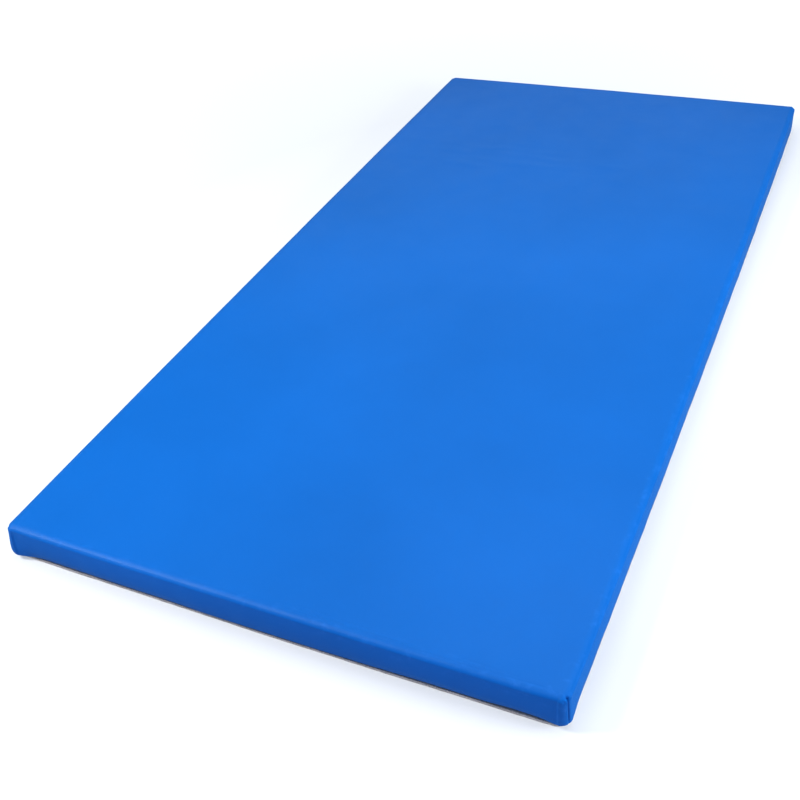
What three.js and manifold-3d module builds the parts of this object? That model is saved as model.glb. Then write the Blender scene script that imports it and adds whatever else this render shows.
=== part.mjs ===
// A one-panel gym mat: a laminated foam slab wrapped in one sheet of coated fabric, with an
// anti-slip sheet glued underneath. Millimetres. The origin is the centre of the underside,
// +X runs across the mat, +Y along it and +Z up.
import * as THREE from "three";
import { mergeVertices } from "three/addons/utils/BufferGeometryUtils.js";
import Module from "manifold-3d";

// The whole mat.
const LENGTH = 2000;
const WIDTH = 1000;
const THICKNESS = 70;
const CORNER_RADIUS = 14; // of the upright corners, seen from above
const EDGE_RADIUS = 12; // of the long edges along the top and the underside

// The layers, from the floor up.
const GAP = 0.3; // left between pieces that are glued face to face
const BASE_THICKNESS = 5;
const COVER_THICKNESS = 0.8;
const FIRM_FOAM_SHARE = 0.7; // of the height of the foam, the rest is the soft layer

// The anti-slip sheet stops just short of the cover's sides.
const BASE_INSET = 1.5;
const BASE_CORNER_RADIUS = 22;

// The cover is turned in under the foam by this much all round.
const COVER_MARGIN = 60;

// At each corner the cover's spare cloth is trimmed to a tab, folded flat behind the end wall.
const TAB_WIDTH = 14;
const TAB_THICKNESS = 1;
const TAB_END_CUT = 3; // how far the tab stops below the top of the foam and above its underside

// How finely round stretches are divided.
const CORNER_SEGMENTS = 8;
const EDGE_SEGMENTS = 6;
const MERGE_DISTANCE = 1e-4;

const wasm = await Module();
wasm.setup();

function toSolid(geometry) {
  const bare = geometry.clone();
  bare.deleteAttribute("normal");
  bare.deleteAttribute("uv");
  const merged = mergeVertices(bare, MERGE_DISTANCE);
  const mesh = new wasm.Mesh({
    numProp: 3,
    vertProperties: merged.attributes.position.array,
    triVerts: new Uint32Array(merged.index.array),
  });
  return new wasm.Manifold(mesh);
}

function toGeometry(solid) {
  const mesh = solid.getMesh();
  const geometry = new THREE.BufferGeometry();
  geometry.setAttribute("position", new THREE.BufferAttribute(mesh.vertProperties, 3));
  geometry.setIndex(new THREE.BufferAttribute(mesh.triVerts, 1));
  geometry.computeVertexNormals();
  return geometry;
}

// A rectangle with round corners, centred on the origin.
function roundedOutline(width, length, radius) {
  const x = width / 2 - radius;
  const y = length / 2 - radius;
  const outline = new THREE.Shape();
  outline.moveTo(x, -y - radius);
  outline.absarc(x, -y, radius, -Math.PI / 2, 0);
  outline.absarc(x, y, radius, 0, Math.PI / 2);
  outline.absarc(-x, y, radius, Math.PI / 2, Math.PI);
  outline.absarc(-x, -y, radius, Math.PI, 1.5 * Math.PI);
  return outline;
}

// A slab with round upright corners and rounded edges above and below.
function roundedSlab({ width, length, bottom, top, cornerRadius, edgeRadius }) {
  const outline = roundedOutline(
    width - 2 * edgeRadius,
    length - 2 * edgeRadius,
    cornerRadius - edgeRadius,
  );
  const geometry = new THREE.ExtrudeGeometry(outline, {
    depth: top - bottom - 2 * edgeRadius,
    curveSegments: CORNER_SEGMENTS,
    bevelEnabled: true,
    bevelSize: edgeRadius,
    bevelThickness: edgeRadius,
    bevelSegments: EDGE_SEGMENTS,
  });
  return geometry.translate(0, 0, bottom + edgeRadius);
}

// The slab that is left when a slab loses this much on every face, and more at its two ends.
function shrunk(slab, by, atEnds = 0) {
  return {
    width: slab.width - 2 * by,
    length: slab.length - 2 * (by + atEnds),
    bottom: slab.bottom + by,
    top: slab.top - by,
    cornerRadius: slab.cornerRadius - by,
    edgeRadius: slab.edgeRadius - by,
  };
}

// The box that has these two points as opposite corners.
function boxBetween(a, b) {
  const box = new THREE.Box3().setFromPoints([a, b]);
  const size = box.getSize(new THREE.Vector3());
  const centre = box.getCenter(new THREE.Vector3());
  return new THREE.BoxGeometry(size.x, size.y, size.z).translate(centre.x, centre.y, centre.z);
}

// The part of the mat between two heights, as a box that reaches past its sides.
function layerBox(bottom, top) {
  return boxBetween(
    new THREE.Vector3(-WIDTH, -LENGTH, bottom),
    new THREE.Vector3(WIDTH, LENGTH, top),
  );
}

const coverOutside = {
  width: WIDTH,
  length: LENGTH,
  bottom: BASE_THICKNESS + GAP,
  top: THICKNESS,
  cornerRadius: CORNER_RADIUS,
  edgeRadius: EDGE_RADIUS,
};
const coverInside = shrunk(coverOutside, COVER_THICKNESS);
const tabOutside = shrunk(coverInside, GAP);
const tabInside = shrunk(tabOutside, 0, TAB_THICKNESS);
const foam = shrunk(tabOutside, 0, TAB_THICKNESS + GAP);
const foamSplit = foam.bottom + FIRM_FOAM_SHARE * (foam.top - foam.bottom);

function foamBaseLayer() {
  const slab = toSolid(roundedSlab(foam));
  return slab.intersect(toSolid(layerBox(0, foamSplit - GAP / 2)));
}

function foamTopLayer() {
  const slab = toSolid(roundedSlab(foam));
  return slab.intersect(toSolid(layerBox(foamSplit + GAP / 2, THICKNESS)));
}

// One sheet over the top, down the four walls and in under the foam, open in the middle below.
function coverSheet() {
  const shell = toSolid(roundedSlab(coverOutside)).subtract(toSolid(roundedSlab(coverInside)));
  const window = boxBetween(
    new THREE.Vector3(COVER_MARGIN - WIDTH / 2, COVER_MARGIN - LENGTH / 2, 0),
    new THREE.Vector3(WIDTH / 2 - COVER_MARGIN, LENGTH / 2 - COVER_MARGIN, foamSplit),
  );
  return shell.subtract(toSolid(window));
}

// side is 1 for the right corner and -1 for the left, end is 1 for the far end and -1 for the near.
function cornerTab(side, end) {
  const skin = toSolid(roundedSlab(tabOutside)).subtract(toSolid(roundedSlab(tabInside)));
  const outer = side * (WIDTH / 2 - CORNER_RADIUS);
  const strip = boxBetween(
    new THREE.Vector3(outer, 0, tabOutside.bottom + TAB_END_CUT),
    new THREE.Vector3(outer - side * TAB_WIDTH, end * LENGTH, tabOutside.top - TAB_END_CUT),
  );
  return skin.intersect(toSolid(strip));
}

function antiSlipBase() {
  const outline = roundedOutline(
    WIDTH - 2 * BASE_INSET,
    LENGTH - 2 * BASE_INSET,
    BASE_CORNER_RADIUS,
  );
  return new THREE.ExtrudeGeometry(outline, {
    depth: BASE_THICKNESS,
    curveSegments: CORNER_SEGMENTS,
    bevelEnabled: false,
  });
}

const materials = {
  cover: { color: 0x1f66d6, roughness: 0.42, metalness: 0 },
  firmFoam: { color: 0x8c8f96, roughness: 0.95, metalness: 0 },
  softFoam: { color: 0xd9d7cf, roughness: 0.95, metalness: 0 },
  base: { color: 0x9a8f84, roughness: 0.9, metalness: 0 },
};

const mat = new THREE.Group();

function addPiece(name, geometry, material) {
  const mesh = new THREE.Mesh(geometry, new THREE.MeshStandardMaterial(material));
  mesh.name = name;
  mat.add(mesh);
}

addPiece("anti_slip_base", antiSlipBase(), materials.base);
addPiece("foam_base_layer", toGeometry(foamBaseLayer()), materials.firmFoam);
addPiece("foam_top_layer", toGeometry(foamTopLayer()), materials.softFoam);
addPiece("cover_sheet", toGeometry(coverSheet()), materials.cover);

const ends = { near: -1, far: 1 };
const sides = { left: -1, right: 1 };
for (const [endName, end] of Object.entries(ends)) {
  for (const [sideName, side] of Object.entries(sides)) {
    const name = `corner_tab_${endName}_${sideName}`;
    addPiece(name, toGeometry(cornerTab(side, end)), materials.cover);
  }
}

export default mat;
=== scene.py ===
"""A one-panel gym mat: a blue cover with folded corners, two foam layers and an anti-slip sheet.

Metres. +X runs across the mat, +Y along it, +Z up. The near end faces -Y.
"""
import math

import bpy
import numpy as np
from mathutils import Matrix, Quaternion, Vector


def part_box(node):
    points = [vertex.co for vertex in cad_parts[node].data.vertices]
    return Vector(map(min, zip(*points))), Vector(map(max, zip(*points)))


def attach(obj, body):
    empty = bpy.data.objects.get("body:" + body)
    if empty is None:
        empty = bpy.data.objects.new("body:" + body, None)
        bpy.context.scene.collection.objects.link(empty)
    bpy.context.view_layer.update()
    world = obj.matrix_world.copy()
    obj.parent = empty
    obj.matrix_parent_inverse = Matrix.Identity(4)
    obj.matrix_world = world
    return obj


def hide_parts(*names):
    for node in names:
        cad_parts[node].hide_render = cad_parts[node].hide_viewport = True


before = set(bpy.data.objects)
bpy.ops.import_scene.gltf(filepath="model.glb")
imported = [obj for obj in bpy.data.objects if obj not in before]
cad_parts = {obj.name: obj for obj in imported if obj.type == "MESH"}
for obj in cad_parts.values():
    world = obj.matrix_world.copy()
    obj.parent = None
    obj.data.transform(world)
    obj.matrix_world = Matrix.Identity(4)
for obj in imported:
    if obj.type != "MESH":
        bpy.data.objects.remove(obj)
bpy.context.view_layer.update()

MM = 0.001
SEED = 7

# Places and sizes, all from the frame.
cover_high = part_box("cover_sheet")[1]
base_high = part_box("anti_slip_base")[1]
foam_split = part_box("foam_base_layer")[1].z
HALF_WIDTH = cover_high.x
HALF_LENGTH = cover_high.y
TOP = cover_high.z
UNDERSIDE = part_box("cover_sheet")[0].z

# The cover's section. CORNER_RADIUS is that of its upright corners, seen from above, and also how
# far in from the wall the top starts to roll off.
CORNER_RADIUS = 14 * MM
ROLL_TILT = math.radians(26)  # how far the top rolls off gently, before it turns down sharply
EDGE_RADIUS = 6 * MM  # of the sharp turn
ROLL_RADIUS = (CORNER_RADIUS - EDGE_RADIUS * (1 - math.sin(ROLL_TILT))) / math.sin(ROLL_TILT)
WALL_RUN = ROLL_RADIUS * ROLL_TILT + EDGE_RADIUS * (math.pi / 2 - ROLL_TILT)
BOTTOM_RADIUS = 7 * MM
MARGIN = 60 * MM
INNER_CORNER_RADIUS = 1.5 * MM  # of the turned-in margin, past the centre of the corner's arc
COVER_THICKNESS = 0.8 * MM
ROLL_ROWS, TURN_ROWS, WALL_ROWS, BOTTOM_ROWS = 12, 13, 24, 9
# The margin's third ring lies 1 mm outside its second one, a small fold-back that doesn't show.
MARGIN_INSETS = (11 * MM, 15 * MM, CORNER_RADIUS, 28 * MM, 40 * MM, MARGIN)

# Layers under the cover, as depths below its outer surface.
TAB_DEPTH = 1.2 * MM
TAB_THICKNESS = 1.0 * MM
FOAM_DEPTH = 3.2 * MM
FOAM_GAP = 0.3 * MM
SPLIT_CLEAR = 2 * MM  # the nearest that the wall's rows come to the split between the layers

# The corner tabs lie behind the end wall, from here down the section, up from the underside and
# round from the groove.
TAB_START_RUN = 20 * MM
TAB_ABOVE_UNDERSIDE = 10 * MM
TAB_START_FOLD = 3 * MM

# The anti-slip sheet.
BASE_CORNER_RADIUS = 22 * MM
BASE_EDGE_RADIUS = 0.8 * MM
BASE_EDGE_ROWS = 9
RAGGED = 0.5 * MM  # how unevenly it is cut
RAGGED_FINE = 0.2 * MM

# How finely the outlines are divided: the finest and the coarsest step along a side and the steps
# round a corner.
CLOTH_STEPS = (1.2 * MM, 8 * MM, 26)
FOAM_STEPS = (3 * MM, 14 * MM, 12)
BASE_STEPS = (3 * MM, 9 * MM, 14)


def smooth(start, end, value):
    """0 at start and before it, 1 at end and past it, and a smooth step between them."""
    t = np.clip((value - start) / (end - start), 0, 1)
    return t * t * (3 - 2 * t)


def bell(centre, width, value):
    """1 at the centre, falling away on both sides."""
    return np.exp(-(((value - centre) / width) ** 2))


def waves(value, shortest, longest, seed, count=7):
    """A wavy line that wanders about -1 to 1, with no wave shorter or longer than this."""
    random = np.random.default_rng(SEED + seed)
    total = np.zeros_like(value)
    for length in np.geomspace(shortest, longest, count):
        phase = random.uniform(0, 2 * math.pi)
        total += random.uniform(0.5, 1) * np.sin(2 * math.pi * value / length + phase)
    return total / math.sqrt(count)


def uneven(x, y, shortest, longest, seed, count=9):
    """A gently uneven surface that wanders about -1 to 1."""
    random = np.random.default_rng(SEED + seed)
    total = np.zeros_like(x)
    for length in np.geomspace(shortest, longest, count):
        turn = random.uniform(0, math.pi)
        phase = random.uniform(0, 2 * math.pi)
        along = x * math.cos(turn) + y * math.sin(turn)
        total += random.uniform(0.5, 1) * np.sin(2 * math.pi * along / length + phase)
    return total / math.sqrt(count)


# --- Outlines and sections ------------------------------------------------------------------


def graded(half, finest, coarsest, growth=1.1):
    """Places from -half to half, closest together at both ends."""
    steps = [finest]
    while sum(steps) < half:
        steps.append(min(steps[-1] * growth, coarsest))
    from_corner = np.concatenate([[0], np.cumsum(steps)])
    from_corner *= half / from_corner[-1]
    return np.concatenate([from_corner - half, (half - from_corner)[-2::-1]])


class Outline:
    """A rectangle with round corners, seen from above, anticlockwise from its near left corner.

    share is where a point lies on the inner rectangle, from -1 to 1 each way, out is the direction
    from there to the outside, and along is the distance round the outside.
    """

    def __init__(self, half_width, half_length, corner_radius, finest, coarsest, arc_segments):
        self.half = np.array([half_width, half_length])
        self.corner_radius = corner_radius
        self.across = graded(half_width - corner_radius, finest, coarsest)
        self.lengthways = graded(half_length - corner_radius, finest, coarsest)
        across = self.across / self.across[-1]
        lengthways = self.lengthways / self.lengthways[-1]
        share, turn, arc_starts = [], [], []
        for side in range(4):
            for t in (across, lengthways)[side % 2]:
                share.append(((t, -1), (1, t), (-t, 1), (-1, -t))[side])
                turn.append(side - 1)
            arc_starts.append(len(share) - 1)
            for step in range(1, arc_segments):
                share.append(((1, -1), (1, 1), (-1, 1), (-1, -1))[side])
                turn.append(side - 1 + step / arc_segments)
        self.share = np.array(share, float)
        angle = np.array(turn, float) * math.pi / 2
        self.out = np.stack([np.cos(angle), np.sin(angle)], axis=1)
        self.count = len(share)
        wall = self.at(0)
        step = np.linalg.norm(np.roll(wall, -1, axis=0) - wall, axis=1)
        self.around = step.sum()
        self.along = np.concatenate([[0], np.cumsum(step)[:-1]])
        self.arc_starts = self.along[arc_starts]

    def at(self, inset):
        """The outline, drawn in by this much."""
        least = 0 if inset <= self.corner_radius else INNER_CORNER_RADIUS
        radius = max(self.corner_radius - inset, least)
        return self.share * (self.half - inset - radius) + self.out * radius


def section():
    """The section through an edge of the cover, from its top face down and in under the mat.

    Each row is the inset from the wall, the height, the tilt of the surface away from level, in
    radians, and the distance down the section from where the top edge starts to turn.
    """
    rows = []
    for tilt in np.linspace(0, ROLL_TILT, ROLL_ROWS):
        inset = CORNER_RADIUS - ROLL_RADIUS * math.sin(tilt)
        height = TOP - ROLL_RADIUS * (1 - math.cos(tilt))
        rows.append((inset, height, tilt, ROLL_RADIUS * tilt))
    turn_centre = height - EDGE_RADIUS * math.cos(ROLL_TILT)
    for tilt in np.linspace(ROLL_TILT, math.pi / 2, TURN_ROWS)[1:]:
        inset = EDGE_RADIUS * (1 - math.sin(tilt))
        height = turn_centre + EDGE_RADIUS * math.cos(tilt)
        run = ROLL_RADIUS * ROLL_TILT + EDGE_RADIUS * (tilt - ROLL_TILT)
        rows.append((inset, height, tilt, run))
    wall_start = turn_centre
    wall_end = UNDERSIDE + BOTTOM_RADIUS
    for height in np.linspace(wall_start, wall_end, WALL_ROWS)[1:]:
        rows.append((0, height, math.pi / 2, run + wall_start - height))
    run += wall_start - wall_end
    for tilt in np.linspace(0, math.pi / 2, BOTTOM_ROWS)[1:]:
        inset = BOTTOM_RADIUS * (1 - math.cos(tilt))
        height = UNDERSIDE + BOTTOM_RADIUS * (1 - math.sin(tilt))
        rows.append((inset, height, math.pi / 2 + tilt, run + BOTTOM_RADIUS * tilt))
    run += BOTTOM_RADIUS * math.pi / 2
    for inset in MARGIN_INSETS:
        rows.append((inset, UNDERSIDE, math.pi, run + inset - BOTTOM_RADIUS))
    return np.array(rows)


# --- How the cover lies ---------------------------------------------------------------------

CROWN = 0.9 * MM
TOP_UNEVEN = 0.2 * MM
BOW_SIDES = 4 * MM
BOW_ENDS = 3 * MM
EDGE_WAVE = 0.25 * MM
NEAR_EDGE_WAVE = 0.35 * MM  # on top of that, at the end where the cover was pulled tight last
EDGE_REACH = 11 * MM  # how far the edge's waviness spreads up and down the section
EDGE_BLUR = 4 * MM  # it comes in over twice this, where the top starts to roll off
CALM_AT_CORNER = 0.7  # the share of it that is lost at a corner
WALL_BULGE = 3.2 * MM
WALL_UNEVEN = 0.5 * MM
TUCK = 3.5 * MM
TUCK_HEIGHT = 22 * MM
LOOSE_MIDDLE, LOOSE_HALF_WIDTH, LOOSE_BLUR = 0.03, 0.18, 0.12  # of the near end's untucked stretch
DRAWN_UNTIL = (40 * MM, 15 * MM)  # insets between which the margin stops following the wall

# Ranges that ease one shape into the next: the share of -Y in a wall's outward direction, the tilt
# and the share of the wall's height.
NEAR_END = (0.7, 1.0)
NEAR_END_WALL = (0.9, 1.0)
WALL_TILTS = (0.6, 1.4)
FLARED = (1.0, 0.1)

# The fold at each corner. Runs are distances down the section.
CORNER_REACH = 36 * MM
NEAR_FLARE = 2.2 * MM
NEAR_LEFT_FLARE = 6 * MM  # on top of that
FAR_FLARE = -4 * MM  # the far corners are drawn in
CORNER_RISE = 3 * MM
CORNER_RISE_REACH = 14 * MM
CORNER_RISE_INSETS = (14 * MM, 6 * MM)
NEAR_RIGHT_RISE = 2.5 * MM  # of the cover's lower edge, beside the near right corner
NEAR_RIGHT_START, NEAR_RIGHT_END = (0.36, 0.42), (0.485, 0.46)
LOWER_EDGE = (0.3, 0)  # shares of the wall's height between which both rises come in
FOLD_END = (76 * MM, 58 * MM)  # runs between which the fold dies out under the mat
GROOVE_TURN = 0.62  # its place on the corner's arc, from 0 at the end wall to 1 at the side wall
GROOVE_DEPTH = 2.2 * MM
GROOVE_WIDTH = 1.3 * MM
DIMPLE_DEPTH = 4.2 * MM
DIMPLE_WIDTH = 3.4 * MM
DIMPLE_RUN = 13.5 * MM
SECOND_DIMPLE = (6 * MM, 3 * MM)  # its place from the first one, round the wall and down
SECOND_DIMPLE_WIDTH = 2.2 * MM
SECOND_DIMPLE_SHARE = 0.35
NEAR_LEFT_PINCH = 0.2  # the groove and the dimple are this shallow there, as a share
LIP_HEIGHT = 1.1 * MM
LIP_WIDTH = 15 * MM
LIP_START = 2.2 * MM  # how far from the groove the lip has its full height
LIP_END = (1 * MM, -2 * MM)  # past its width, between which it dies out

# Fine creases that fan out from the near right corner along the end's top edge: the run each one
# starts at, how far it has climbed from there at the mat's middle, and how deep it is.
CREASES = ((1 * MM, 16 * MM, 0.5 * MM), (3 * MM, 10 * MM, 0.6 * MM), (5 * MM, 4 * MM, 0.5 * MM))
CREASE_WIDTH = 1.4 * MM
CREASE_WANDER = 0.8 * MM
CREASES_START, CREASES_END = (-0.1, 0.1), (0.485, 0.455)
AT_ROLL = 1 * MM  # the creases pass from the top's own lift to the section's over twice this

# Slack ripples across the top: place as a share of the length from the far end, left and right
# ends as shares of the width, slope, relative height and width.
RIPPLES = (
    (0.215, -0.45, 0.10, 0.020, 0.8, 11 * MM),
    (0.232, -0.40, 0.22, -0.012, 1.0, 13 * MM),
    (0.250, -0.30, 0.18, 0.028, 0.7, 12 * MM),
    (0.268, -0.47, -0.05, -0.020, 0.8, 14 * MM),
    (0.345, 0.06, 0.24, 0.030, 0.6, 12 * MM),
)
RIPPLE_HEIGHT = 0.55 * MM
RIPPLE_WANDER = 9 * MM
RIPPLE_FADE = 0.15
TROUGH_DEPTH = 0.5  # of the dip on a ripple's near side, as a share of the ripple
TROUGH_AWAY = 1.8  # in ripple widths


def ripples(x, y):
    """Slack in the cover, in bands across the mat that die out sideways."""
    lift = np.zeros_like(x)
    for number, (place, left, right, slope, height, wide) in enumerate(RIPPLES):
        middle = HALF_LENGTH * (1 - 2 * place) + slope * x
        middle = middle + RIPPLE_WANDER * waves(x, 0.12, 0.7, 20 + number)
        start, end = 2 * HALF_WIDTH * left, 2 * HALF_WIDTH * right
        fade = smooth(start, start + RIPPLE_FADE, x) * smooth(end, end - RIPPLE_FADE, x)
        patchy = 0.55 + 0.45 * waves(x, 0.15, 0.5, 40 + number)
        trough = TROUGH_DEPTH * bell(middle - TROUGH_AWAY * wide, wide, y)
        lift += RIPPLE_HEIGHT * height * fade * patchy * (bell(middle, wide, y) - trough)
    return lift


def top_lift(x, y):
    """How far the top face stands above flat: a low crown, ripples and unevenness."""
    crown = CROWN * (1 - (x / HALF_WIDTH) ** 4) * (1 - (y / HALF_LENGTH) ** 8)
    run = CORNER_RADIUS - HALF_LENGTH - y
    creases = near_end_creases(x, run) * smooth(AT_ROLL, -AT_ROLL, run)
    return crown + TOP_UNEVEN * uneven(x, y, 0.12, 0.9, 1) + ripples(x, y) - creases


def bowed(x, y):
    """The plan, bowed out a little between the corners."""
    side = BOW_SIDES * (0.5 - (y / HALF_LENGTH) ** 2) * x / HALF_WIDTH
    end = BOW_ENDS * (0.5 - (x / HALF_WIDTH) ** 2) * y / HALF_LENGTH
    return x + side, y + end


def beside_fold(outline):
    """How far round the wall each outline point is from its corner's groove.

    It is positive on the end wall's side of the groove and negative on the side wall's.
    """
    arc = CORNER_RADIUS * math.pi / 2
    nearest = np.full(outline.count, np.inf)
    for corner, start in enumerate(outline.arc_starts):
        end_wall_first = corner % 2 == 0
        groove = start + arc * (GROOVE_TURN if end_wall_first else 1 - GROOVE_TURN)
        away = (outline.along - groove + outline.around / 2) % outline.around - outline.around / 2
        away = -away if end_wall_first else away
        nearest = np.where(np.abs(away) < np.abs(nearest), away, nearest)
    return nearest


def corner_fold(fold, run, pinch):
    """How far the fold at each corner pushes the cover out: a groove, a dimple and a lip.

    pinch is how deep the groove and the dimple are, as a share of their full depth.
    """
    on_wall = smooth(0.5 * WALL_RUN, WALL_RUN, run) * smooth(*FOLD_END, run)
    groove = bell(0, GROOVE_WIDTH, fold) * on_wall
    dimple = bell(0, DIMPLE_WIDTH, np.hypot(fold, run - DIMPLE_RUN))
    round_wall, down = SECOND_DIMPLE
    beside = bell(0, SECOND_DIMPLE_WIDTH, np.hypot(fold - round_wall, run - DIMPLE_RUN - down))
    lip = smooth(0, LIP_START, fold) * smooth(LIP_WIDTH + LIP_END[0], LIP_WIDTH + LIP_END[1], fold)
    pushed_in = GROOVE_DEPTH * groove + DIMPLE_DEPTH * (dimple + SECOND_DIMPLE_SHARE * beside)
    return LIP_HEIGHT * lip * on_wall - pinch * pushed_in


def near_end_creases(x, run):
    """How deep the fine creases along the near end's top edge are."""
    total = 0
    for number, (start, climb, depth) in enumerate(CREASES):
        line = start - climb * (1 - x / HALF_WIDTH)
        line = line + CREASE_WANDER * waves(x, 0.2, 0.8, 60 + number)
        strength = 0.7 + 0.3 * waves(x, 0.05, 0.3, 70 + number)
        total = total + depth * strength * bell(line, CREASE_WIDTH, run)
    return total * smooth(*CREASES_START, x) * smooth(*CREASES_END, x)


def skin(outline, rows, depth=0.0):
    """The mat's surface on this outline and section, this deep below the outside.

    The result is an array of rows by points by 3.
    """
    inset, height, tilt, run = (rows[:, i][:, None] for i in range(4))
    plan = np.stack([outline.at(row[0]) for row in rows])
    x, y = plan[:, :, 0], plan[:, :, 1]
    out_x, out_y = outline.out.T[:, None, :]
    along = outline.along[None, :]
    fold = beside_fold(outline)[None, :]
    near_corner = bell(0, CORNER_REACH, fold)
    near_left = (outline.share < 0).all(axis=1)[None, :]
    pinch = np.where(near_left, NEAR_LEFT_PINCH, 1)
    rise = (height - UNDERSIDE) / (TOP - UNDERSIDE)

    edge = bell(WALL_RUN / 2, EDGE_REACH, run) * smooth(-EDGE_BLUR, EDGE_BLUR, run)
    at_near_end = smooth(*NEAR_END, -out_y)
    wave = EDGE_WAVE * waves(along, 0.2, 0.9, 2)
    wave = wave + NEAR_EDGE_WAVE * at_near_end * waves(x, 0.05, 0.3, 8)
    push = wave * edge * (1 - CALM_AT_CORNER * near_corner)
    wall = np.sin(math.pi * np.clip(rise, 0, 1)) * smooth(*WALL_TILTS, tilt)
    bulge = WALL_BULGE * (1 - near_corner) + WALL_UNEVEN * waves(along, 0.05, 0.4, 3)
    creases = near_end_creases(x, run) * smooth(-AT_ROLL, AT_ROLL, run)
    creases = creases * smooth(*NEAR_END_WALL, -out_y)
    push = push + bulge * wall + corner_fold(fold, run, pinch) - creases

    tuck = smooth(UNDERSIDE + TUCK_HEIGHT, UNDERSIDE, height) * (1 - near_corner)
    near_half = (outline.share[:, 1] < 0)[None, :]
    flare = np.where(near_half, NEAR_FLARE, FAR_FLARE) + NEAR_LEFT_FLARE * near_left
    drawn = flare * smooth(*FLARED, rise) * near_corner
    into_loose = LOOSE_HALF_WIDTH - np.abs(x - LOOSE_MIDDLE)
    loose = smooth(-LOOSE_BLUR, LOOSE_BLUR, into_loose) * at_near_end
    drawn = drawn - TUCK * tuck * (0.8 + 0.2 * waves(along, 0.15, 0.8, 4)) * (1 - 0.9 * loose)
    drawn = drawn * smooth(*DRAWN_UNTIL, inset)
    sideways = (push - depth) * np.sin(tilt) + drawn
    lift = (push - depth) * np.cos(tilt)
    lift = lift + top_lift(x, y) * smooth(WALL_RUN, 0, run)
    low = smooth(*LOWER_EDGE, rise)
    risen = bell(0, CORNER_RISE_REACH, fold) * smooth(*CORNER_RISE_INSETS, inset) * low
    lift = lift + CORNER_RISE * risen
    beside_corner = smooth(*NEAR_RIGHT_START, x) * smooth(*NEAR_RIGHT_END, x) * at_near_end
    lift = lift + NEAR_RIGHT_RISE * beside_corner * low
    x, y = bowed(x + out_x * sideways, y + out_y * sideways)
    return np.stack([x, y, height + lift], axis=2)


# --- Meshes ---------------------------------------------------------------------------------


def between_rings(upper, lower):
    """Quads between two closed rings of vertex numbers, the upper one first."""
    return np.stack([upper, lower, np.roll(lower, -1), np.roll(upper, -1)], axis=1)


def lid(outline, height_at):
    """A grid that fills the inner rectangle.

    The result is its vertices, its faces, facing up, and the vertex next to each outline point.
    """
    x, y = np.meshgrid(outline.across, outline.lengthways, indexing="ij")
    vertices = np.stack([*bowed(x, y), height_at(x, y)], axis=2).reshape(-1, 3)
    long = len(outline.lengthways)
    i, j = np.meshgrid(np.arange(len(outline.across) - 1), np.arange(long - 1), indexing="ij")
    first = i * long + j
    faces = np.stack([first, first + long, first + long + 1, first + 1], axis=2).reshape(-1, 4)
    reach = outline.half - outline.corner_radius
    column = np.abs(outline.share[:, :1] * reach[0] - outline.across).argmin(axis=1)
    row = np.abs(outline.share[:, 1:] * reach[1] - outline.lengthways).argmin(axis=1)
    return vertices, faces, column * long + row


def make_mesh(name, vertices, faces):
    """A mesh object. A face that has a vertex twice becomes a triangle, or nothing."""
    cleaned = [list(dict.fromkeys(face)) for face in faces.tolist()]
    mesh = bpy.data.meshes.new(name)
    mesh.from_pydata(vertices.tolist(), [], [face for face in cleaned if len(face) > 2])
    mesh.validate()
    mesh.shade_smooth()
    thing = bpy.data.objects.new(name, mesh)
    bpy.context.scene.collection.objects.link(thing)
    return thing


def block(name, outline, rings, top, bottom=None):
    """A mesh of stacked rings with a lid on top, and another below if the block is closed."""
    vertices, faces, upper = top
    parts, all_faces = [vertices], [faces]
    count = len(vertices)
    for ring in rings:
        lower = count + np.arange(outline.count)
        parts.append(ring)
        all_faces.append(between_rings(upper, lower))
        upper = lower
        count += outline.count
    if bottom:
        vertices, faces, join = bottom
        parts.append(vertices)
        all_faces += [between_rings(upper, count + join), count + faces[:, ::-1]]
    return make_mesh(name, np.concatenate(parts), np.concatenate(all_faces))


def mat_outline(steps):
    return Outline(HALF_WIDTH, HALF_LENGTH, CORNER_RADIUS, *steps)


RUBBED_ABOVE = (40 * MM, 60 * MM)  # heights between which the rub along the edges comes in
RUBBED_EDGE = (4 * MM, 12 * MM)  # how far in from the wall the edge is rubbed most, and how widely
RUBBED_CORNER = 40 * MM


def add_wear(piece):
    """Marks how near each point is to a rounded edge or a corner, where the cloth gets rubbed."""
    points = np.array([v.co for v in piece.data.vertices])
    x, y = np.abs(points[:, 0]), np.abs(points[:, 1])
    to_side, to_end = HALF_WIDTH - x, HALF_LENGTH - y
    high_up = smooth(*RUBBED_ABOVE, points[:, 2])
    along_edge = bell(*RUBBED_EDGE, np.minimum(to_side, to_end)) * high_up
    at_corner = bell(0, RUBBED_CORNER, np.hypot(to_side, to_end))
    wear = piece.data.attributes.new("wear", "FLOAT", "POINT")
    wear.data.foreach_set("value", np.clip(along_edge + at_corner, 0, 1).astype(np.float32))


def make_cover():
    outline = mat_outline(CLOTH_STEPS)
    top = lid(outline, lambda x, y: TOP + top_lift(x, y))
    rings = skin(outline, section())[1:]
    piece = block("cover", outline, rings, top)
    add_wear(piece)
    cloth = piece.modifiers.new("cloth", "SOLIDIFY")
    cloth.thickness = COVER_THICKNESS
    cloth.offset = -1
    return piece


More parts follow.
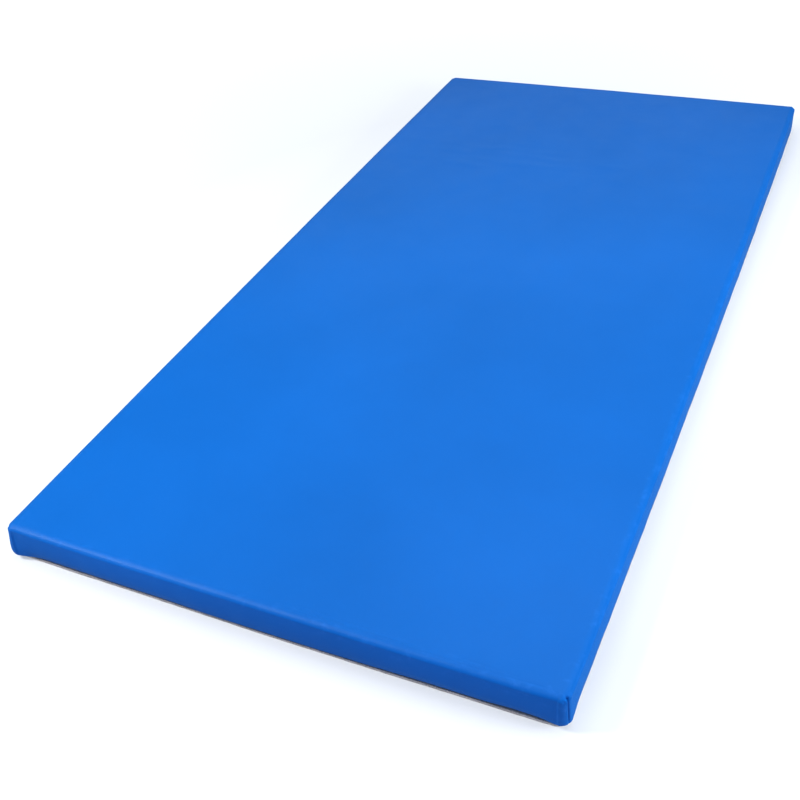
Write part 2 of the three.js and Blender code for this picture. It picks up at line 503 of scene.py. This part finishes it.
def make_foam():
    """The soft layer and the firm layer, each a closed block that follows the cover."""
    outline = mat_outline(FOAM_STEPS)
    rows = section()
    inset, height, tilt, run = rows.T
    on_wall = np.isclose(tilt, math.pi / 2)
    over_split = height > foam_split + SPLIT_CLEAR
    under_split = height < foam_split - SPLIT_CLEAR
    wall_above = on_wall & over_split
    above = rows[(~on_wall & (tilt < math.pi / 2)) | wall_above][1:]
    past_wall = ~on_wall & (tilt > math.pi / 2) & (inset < CORNER_RADIUS)
    below = rows[(on_wall & under_split) | past_wall]
    split_run = run[wall_above][-1] + height[wall_above][-1] - foam_split
    split_row = np.array([[0, foam_split, math.pi / 2, split_run]])
    split_ring = skin(outline, split_row, FOAM_DEPTH)[0]
    shift = np.array([0, 0, FOAM_GAP])

    soft_rings = [*skin(outline, above, FOAM_DEPTH), split_ring + shift]
    soft_top = lid(outline, lambda x, y: TOP - FOAM_DEPTH + top_lift(x, y))
    soft_bottom = lid(outline, lambda x, y: np.full_like(x, foam_split + FOAM_GAP))
    soft = block("foam_soft_layer", outline, soft_rings, soft_top, soft_bottom)

    firm_rings = [split_ring, *skin(outline, below, FOAM_DEPTH)]
    firm_top = lid(outline, lambda x, y: np.full_like(x, foam_split))
    firm_bottom = lid(outline, lambda x, y: np.full_like(x, UNDERSIDE + FOAM_DEPTH))
    firm = block("foam_firm_layer", outline, firm_rings, firm_top, firm_bottom)
    return soft, firm


def make_corner_tabs():
    """The trimmed spare cloth at each corner, folded flat behind the end wall's lip."""
    outline = mat_outline(CLOTH_STEPS)
    rows = section()
    height, run = rows[:, 1], rows[:, 3]
    rows = rows[(run > TAB_START_RUN) & (height > UNDERSIDE + TAB_ABOVE_UNDERSIDE)]
    fold = beside_fold(outline)
    outer = skin(outline, rows, TAB_DEPTH)
    inner = skin(outline, rows, TAB_DEPTH + TAB_THICKNESS)
    names = ("near_right", "far_right", "far_left", "near_left")
    tabs = {}
    for corner, name in enumerate(names):
        side = ((1, -1), (1, 1), (-1, 1), (-1, -1))[corner]
        here = (outline.share * side > 0).all(axis=1)
        points = np.nonzero(here & (fold > TAB_START_FOLD) & (fold < LIP_WIDTH))[0]
        points = points[np.argsort(fold[points] * (-1 if corner % 2 == 0 else 1))]
        tab = patch("folded_" + name + "_tab", outer[:, points], inner[:, points])
        tabs["corner_tab_" + name] = tab
    return tabs


def patch(name, outer, inner):
    """A closed sheet between two grids of points that face each other."""
    high, wide = outer.shape[:2]
    count = high * wide
    number = np.arange(count).reshape(high, wide)
    corners = [number[:-1, :-1], number[1:, :-1], number[1:, 1:], number[:-1, 1:]]
    front = np.stack(corners, axis=2).reshape(-1, 4)
    back = front[:, ::-1] + count
    rim = np.array([*number[0, :-1], *number[:-1, -1], *number[-1, :0:-1], *number[:0:-1, 0]])
    following = np.roll(rim, -1)
    edge = np.stack([rim, following, following + count, rim + count], axis=1)
    vertices = np.concatenate([outer.reshape(-1, 3), inner.reshape(-1, 3)])
    return make_mesh(name, vertices, np.concatenate([front, back, edge]))


def make_base():
    """The anti-slip sheet, cut by hand a little inside the cover's edge."""
    outline = Outline(base_high.x, base_high.y, BASE_CORNER_RADIUS, *BASE_STEPS)
    ragged = RAGGED * (1 + waves(outline.along, 0.2, 1.1, 5))
    ragged = ragged + RAGGED_FINE * waves(outline.along, 0.01, 0.05, 6)
    thick = base_high.z
    rings = []
    for tilt in np.linspace(0, math.pi, BASE_EDGE_ROWS):
        inset = BASE_EDGE_RADIUS * (1 - math.sin(tilt))
        swing = BASE_EDGE_RADIUS * (1 - abs(math.cos(tilt)))
        height = thick - swing if tilt < math.pi / 2 else swing
        plan = outline.at(inset) - outline.out * ragged[:, None]
        x, y = bowed(plan[:, 0], plan[:, 1])
        rings.append(np.stack([x, y, np.full_like(x, height)], axis=1))
    top = lid(outline, lambda x, y: np.full_like(x, thick))
    bottom = lid(outline, lambda x, y: np.zeros_like(x))
    return block("anti_slip_sheet", outline, rings, top, bottom)


# --- Materials ------------------------------------------------------------------------------


class Nodes:
    """A material and short ways to add and link its nodes."""

    def __init__(self, name):
        self.material = bpy.data.materials.new(name)
        self.material.use_nodes = True
        self.tree = self.material.node_tree
        self.shader = self.tree.nodes["Principled BSDF"]
        self.place = self.tree.nodes.new("ShaderNodeTexCoord").outputs["Object"]

    def add(self, kind, inputs=None, **settings):
        node = self.tree.nodes.new(kind)
        for name, value in settings.items():
            setattr(node, name, value)
        for name, value in (inputs or {}).items():
            self.feed(node.inputs[name], value)
        return node

    def feed(self, socket, value):
        if isinstance(value, bpy.types.NodeSocket):
            self.tree.links.new(value, socket)
        else:
            socket.default_value = value

    def maths(self, operation, first, second=0.0):
        return self.add("ShaderNodeMath", {0: first, 1: second}, operation=operation).outputs[0]

    def noise(self, scale, detail=4.0, roughness=0.55):
        inputs = {"Vector": self.place, "Scale": scale, "Detail": detail, "Roughness": roughness}
        return self.add("ShaderNodeTexNoise", inputs).outputs["Fac"]

    def spread(self, value, low, high, to_low=0.0, to_high=1.0):
        """The value, stretched so that low to high becomes to_low to to_high, and kept in there."""
        inputs = {"Value": value, "From Min": low, "From Max": high}
        inputs.update({"To Min": to_low, "To Max": to_high})
        return self.add("ShaderNodeMapRange", inputs).outputs["Result"]

    def blend(self, share, first, second):
        mix = self.add("ShaderNodeMix", data_type="RGBA")
        self.feed(mix.inputs["Factor"], share)
        self.feed(mix.inputs["A"], first)
        self.feed(mix.inputs["B"], second)
        return mix.outputs["Result"]

    def threads(self, scale, direction):
        """Fine parallel threads. At a scale of 1 they are 2 pi / 20 m apart."""
        inputs = {"Vector": self.place, "Scale": scale, "Distortion": 0.0}
        wave = self.add("ShaderNodeTexWave", inputs, bands_direction=direction, wave_profile="SIN")
        return wave.outputs["Fac"]

    def bump(self, height, distance, strength=1.0, normal=None):
        inputs = {"Height": height, "Distance": distance, "Strength": strength}
        if normal:
            inputs["Normal"] = normal
        return self.add("ShaderNodeBump", inputs).outputs["Normal"]


COVER_BLUE = (0.006, 0.118, 0.395, 1)
COVER_BLUE_DEEP = (0.005, 0.108, 0.36, 1)
COVER_RUBBED = (0.05, 0.22, 0.66, 1)
BASE_TAN = (0.66, 0.54, 0.44, 1)
BASE_TAN_DULL = (0.52, 0.46, 0.41, 1)
BASE_FLECKS = (0.30, 0.28, 0.26, 1)
FIRM_FOAM = (0.24, 0.26, 0.29, 1)
FIRM_FOAM_DARK = (0.17, 0.18, 0.20, 1)
SOFT_FOAM = (0.72, 0.69, 0.62, 1)
SOFT_FOAM_DARK = (0.62, 0.59, 0.52, 1)

COVER_ROUGHNESS = (0.33, 0.41)
COVER_SPECULAR = 0.12
RUB_STRENGTH = 0.22
WEAVE_SCALE = 1326.29  # threads 0.24 mm apart
WAFFLE_SCALE = 530.516  # 0.59 mm apart
FIRM_CELL = 1.2 * MM
SOFT_CELL = 1.8 * MM


def cover_material():
    """Coated fabric: satin, with a fine grain and the woven scrim under it."""
    n = Nodes("coated_fabric")
    blue = n.blend(n.spread(n.noise(2.2, 5.0), 0.35, 0.65), COVER_BLUE, COVER_BLUE_DEEP)
    wear = n.add("ShaderNodeAttribute", attribute_name="wear").outputs["Fac"]
    scuffs = n.spread(n.noise(70.0, 9.0, 0.7), 0.52, 0.72)
    worn = n.maths("MULTIPLY", n.maths("MULTIPLY", wear, scuffs), RUB_STRENGTH)
    n.feed(n.shader.inputs["Base Color"], n.blend(worn, blue, COVER_RUBBED))
    roughness = n.spread(n.noise(14.0, 6.0), 0.3, 0.7, *COVER_ROUGHNESS)
    n.feed(n.shader.inputs["Roughness"], n.maths("ADD", roughness, n.maths("MULTIPLY", worn, 0.5)))
    n.shader.inputs["Specular IOR Level"].default_value = COVER_SPECULAR
    weave = n.maths("ADD", n.threads(WEAVE_SCALE, "X"), n.threads(WEAVE_SCALE, "Y"))
    weave = n.maths("ADD", weave, n.threads(WEAVE_SCALE, "Z"))
    soft = n.bump(n.noise(9.0, 3.0), 0.6 * MM, 0.5)
    grain = n.bump(n.noise(1400.0, 3.0, 0.6), 0.02 * MM, 0.5, soft)
    n.feed(n.shader.inputs["Normal"], n.bump(weave, 0.03 * MM, 0.6, grain))
    return n.material


def base_material():
    """Tan anti-slip sheet: a felted body with grey flecks and a waffle pressed into it."""
    n = Nodes("anti_slip_felt")
    flecks = n.spread(n.noise(420.0, 6.0, 0.7), 0.45, 0.62)
    patches = n.spread(n.noise(7.0, 4.0), 0.35, 0.65)
    tan = n.blend(patches, BASE_TAN, BASE_TAN_DULL)
    n.feed(n.shader.inputs["Base Color"], n.blend(flecks, tan, BASE_FLECKS))
    n.feed(n.shader.inputs["Roughness"], n.spread(n.noise(60.0), 0.3, 0.7, 0.82, 0.95))
    n.shader.inputs["Specular IOR Level"].default_value = 0.2
    waffle = n.maths("MULTIPLY", n.threads(WAFFLE_SCALE, "X"), n.threads(WAFFLE_SCALE, "Y"))
    fibres = n.bump(n.noise(900.0, 4.0, 0.7), 0.25 * MM, 0.8)
    n.feed(n.shader.inputs["Normal"], n.bump(waffle, 0.6 * MM, 0.7, fibres))
    return n.material


def foam_material(name, colour, darker, cell):
    """Cut foam: open cells over a slightly uneven colour."""
    n = Nodes(name)
    n.feed(n.shader.inputs["Base Color"], n.blend(n.noise(30.0, 5.0), colour, darker))
    n.feed(n.shader.inputs["Roughness"], n.spread(n.noise(80.0), 0.3, 0.7, 0.88, 0.98))
    cells = n.add("ShaderNodeTexVoronoi", {"Vector": n.place, "Scale": 1 / cell})
    n.feed(n.shader.inputs["Normal"], n.bump(cells.outputs["Distance"], 0.4 * MM, 0.8))
    return n.material


# --- The mat --------------------------------------------------------------------------------

cover = make_cover()
soft_foam, firm_foam = make_foam()
tabs = make_corner_tabs()
base = make_base()

cloth = cover_material()
finishes = {
    cover: (cloth, "blue_cover"),
    base: (base_material(), "anti_slip_sheet"),
    firm_foam: (foam_material("firm_foam", FIRM_FOAM, FIRM_FOAM_DARK, FIRM_CELL), "firm_foam"),
    soft_foam: (foam_material("soft_foam", SOFT_FOAM, SOFT_FOAM_DARK, SOFT_CELL), "soft_foam"),
}
finishes.update({tab: (cloth, "blue_cover") for tab in tabs.values()})
for piece, (material, slot) in finishes.items():
    piece.data.materials.append(material)
    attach(piece, "root")

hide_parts("cover_sheet")
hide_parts("anti_slip_base")
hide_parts("foam_top_layer")
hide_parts("foam_base_layer")

for node, tab in tabs.items():
    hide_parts(node)


# --- Floor, light and camera ----------------------------------------------------------------


FLOOR_HALF_WIDTH = 40.0
FLOOR_GREY = (0.44, 0.44, 0.44, 1)
# The floor's glow is painted light. It is weakest round the mat, where it stands in for the mat's
# shadow, and strongest further off.
GLOW_DISTANCES = (1.0, 3.2)  # from the mat's centre
GLOW_STRENGTHS = (0.34, 0.85)

CAMERA_AZIMUTH = math.radians(27.82)
CAMERA_ELEVATION = math.radians(38.57)
CAMERA_ROLL = math.radians(-6.23)
CAMERA_AIM = Vector((0.042, -0.466, TOP))
CAMERA_DISTANCE = 1.929
CAMERA_LENS = 46.6
CAMERA_SHIFT = -0.025

COOL_WHITE = (0.85, 0.92, 1.0)
BLUE_GEL = (0.1, 0.25, 1.0)
SKY = (0.48, 0.7, 1.0, 1)
SKY_STRENGTH = 0.38

# Each softbox: its name, place, aim, size, power and colour, and whether the mat reflects it. One
# that it doesn't reflect lights the mat without a bright patch in its top from low angles.
SOFTBOXES = (
    ("overhead", (0.35, 0.15, 2.1), (0.25, 0.15, 0), (2.0, 2.0), 33, (1, 1, 1), True),
    ("left_front", (-1.6, -1.5, 1.9), (-0.2, -0.9, 0), (0.6, 0.6), 50, (1, 1, 1), True),
    ("far_card", (-1.3, 3.4, 1.9), (-0.1, 0.2, 0), (3.6, 2.2), 14, (1, 1, 1), True),
    ("right_fill", (2.5, -0.4, 0.9), (0.5, -0.4, 0), (1.5, 1.0), 60, COOL_WHITE, False),
    ("front_card", (0.2, -3.2, 0.4), (0.0, -1.0, 0.03), (2.5, 0.5), 8, BLUE_GEL, False),
)


def make_floor():
    """A white floor that glows more the further it is from the mat, so that it stays white. The
    glow is painted light, and its weaker glow round the mat is a painted shadow.
    """
    half = FLOOR_HALF_WIDTH
    vertices = np.array([(-half, -half, 0), (half, -half, 0), (half, half, 0), (-half, half, 0)])
    floor = make_mesh("floor", vertices, np.array([[0, 1, 2, 3]]))
    n = Nodes("pale_floor")
    n.shader.inputs["Base Color"].default_value = FLOOR_GREY
    n.shader.inputs["Roughness"].default_value = 0.9
    n.shader.inputs["Specular IOR Level"].default_value = 0.0
    n.shader.inputs["Emission Color"].default_value = (1, 1, 1, 1)
    distance = n.add("ShaderNodeVectorMath", {0: n.place}, operation="LENGTH").outputs["Value"]
    glow = n.spread(distance, *GLOW_DISTANCES, *GLOW_STRENGTHS)
    n.feed(n.shader.inputs["Emission Strength"], glow)
    floor.data.materials.append(n.material)
    floor.visible_glossy = False


def make_softbox(name, place, aim, size, power, colour, reflected):
    light = bpy.data.lights.new(name, "AREA")
    light.shape = "RECTANGLE"
    light.size, light.size_y = size
    light.energy = power
    light.color = colour
    lamp = bpy.data.objects.new(name, light)
    lamp.location = place
    lamp.rotation_mode = "QUATERNION"
    lamp.rotation_quaternion = (Vector(aim) - Vector(place)).to_track_quat("-Z", "Y")
    lamp.visible_glossy = reflected
    bpy.context.scene.collection.objects.link(lamp)


def make_camera():
    """The camera stands off the mat's near right corner and looks down at its top face."""
    back = Vector((
        math.sin(CAMERA_AZIMUTH) * math.cos(CAMERA_ELEVATION),
        -math.cos(CAMERA_AZIMUTH) * math.cos(CAMERA_ELEVATION),
        math.sin(CAMERA_ELEVATION),
    ))
    data = bpy.data.cameras.new("camera")
    data.lens = CAMERA_LENS
    data.shift_x = CAMERA_SHIFT
    camera = bpy.data.objects.new("camera", data)
    camera.location = CAMERA_AIM + back * CAMERA_DISTANCE
    camera.rotation_mode = "QUATERNION"
    turn = (-back).to_track_quat("-Z", "Y")
    camera.rotation_quaternion = turn @ Quaternion((0, 0, 1), CAMERA_ROLL)
    bpy.context.scene.collection.objects.link(camera)
    bpy.context.scene.camera = camera


make_floor()
make_camera()
for softbox in SOFTBOXES:
    make_softbox(*softbox)

world = bpy.data.worlds.new("studio")
bpy.context.scene.world = world
world.use_nodes = True
world.node_tree.nodes["Background"].inputs["Color"].default_value = SKY
world.node_tree.nodes["Background"].inputs["Strength"].default_value = SKY_STRENGTH
bpy.context.scene.view_settings.view_transform = "Standard"
bpy.context.scene.view_settings.look = "Medium High Contrast"
